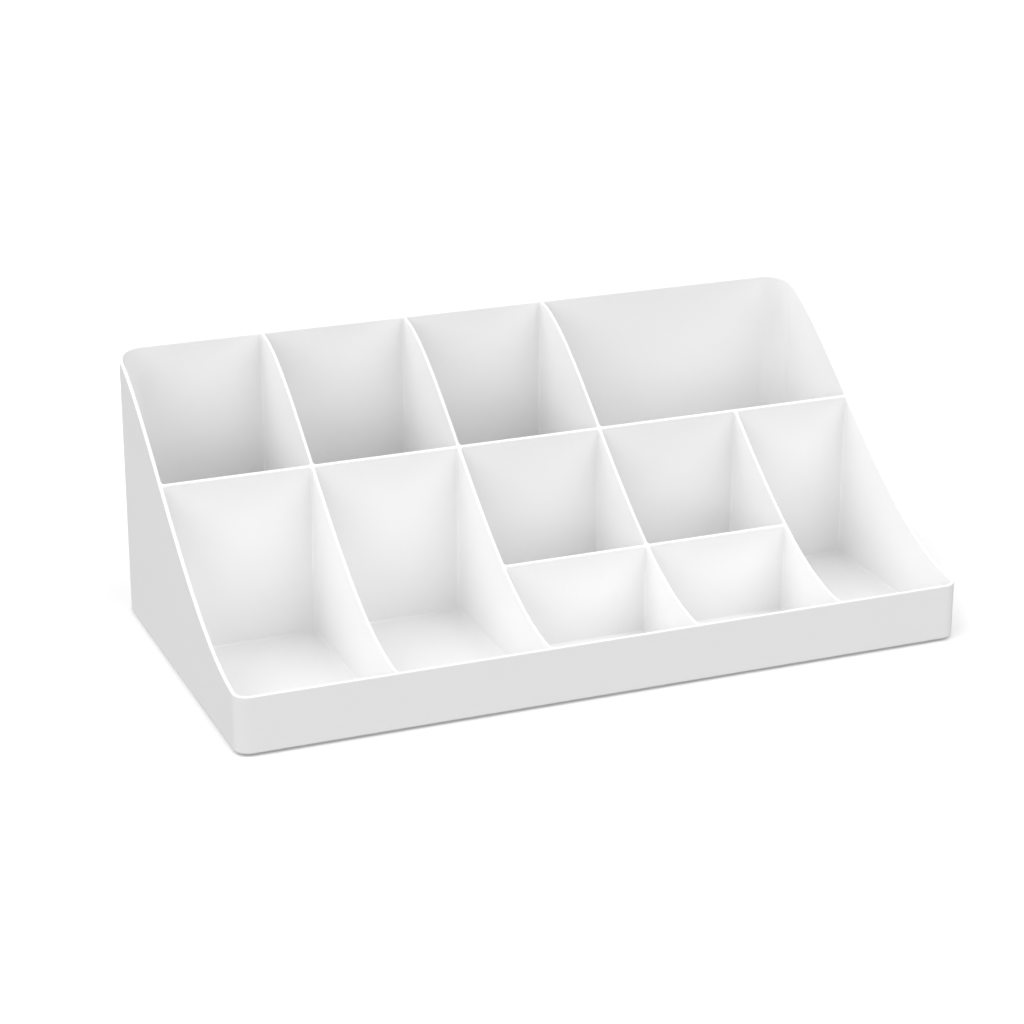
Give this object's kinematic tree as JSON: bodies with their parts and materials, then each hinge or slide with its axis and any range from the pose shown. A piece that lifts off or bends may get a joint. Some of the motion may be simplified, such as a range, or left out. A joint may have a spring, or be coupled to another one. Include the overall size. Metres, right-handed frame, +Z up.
{
  "type": "tiered desktop organizer",
  "caption": "Wide open-top organizer tray with a curved, stepped-back profile, parted into compartments of four sizes, on round rubber feet.",
  "frame": {"origin": "on the table, under the middle of the footprint", "axes": "+X to the right along the long side, +Y from the low front to the high back, +Z up"},
  "size_m": [0.464, 0.25, 0.1701],
  "materials": {
    "tray_plastic": "satin, fine moulded texture",
    "foot_rubber": "matte"
  },
  "bodies": {
    "root": {"tray": "tray_plastic", "foot_front_left": "foot_rubber", "foot_front_right": "foot_rubber", "foot_back_left": "foot_rubber", "foot_back_right": "foot_rubber"}
  },
  "joints": []
}
